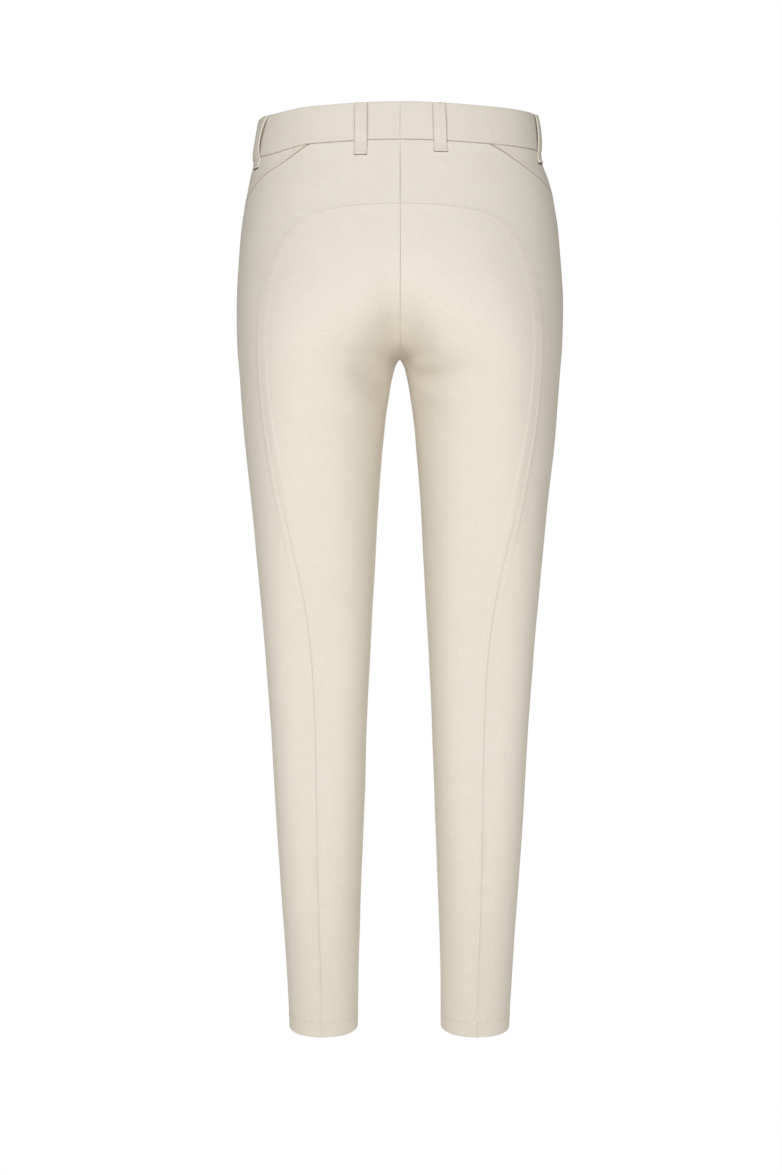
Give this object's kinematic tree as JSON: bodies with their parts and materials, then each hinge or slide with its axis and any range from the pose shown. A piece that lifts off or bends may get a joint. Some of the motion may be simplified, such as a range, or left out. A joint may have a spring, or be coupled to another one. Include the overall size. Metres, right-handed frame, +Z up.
{
  "type": "riding breeches",
  "caption": "Cream full-seat riding breeches, filled out as worn and hollow, with a waistband, belt loops, hip yokes, and waist and hems open.",
  "frame": {"origin": "centre of the waist opening, at the level of the waistband's top edge at the centre back", "axes": "+Z up the garment, +Y towards the wearer's front, +X towards the wearer's right"},
  "size_m": [0.336, 0.2451, 0.9569],
  "materials": {
    "twill": "matt stretch twill, cream",
    "seat_cloth": "smooth matt stretch seat cloth, cream",
    "button": "semi-matt moulded resin, cream"
  },
  "bodies": {
    "root": {"outer_leg_right": "twill", "outer_leg_left": "twill", "hip_yoke_right": "twill", "hip_yoke_left": "twill", "waistband_right": "twill", "waistband_left": "twill", "belt_loop_back_right": "twill", "belt_loop_back_left": "twill", "belt_loop_side_right": "twill", "belt_loop_side_left": "twill", "belt_loop_front_right": "twill", "belt_loop_front_left": "twill", "full_seat_right": "seat_cloth", "full_seat_left": "seat_cloth", "waist_button": "button"}
  },
  "joints": []
}
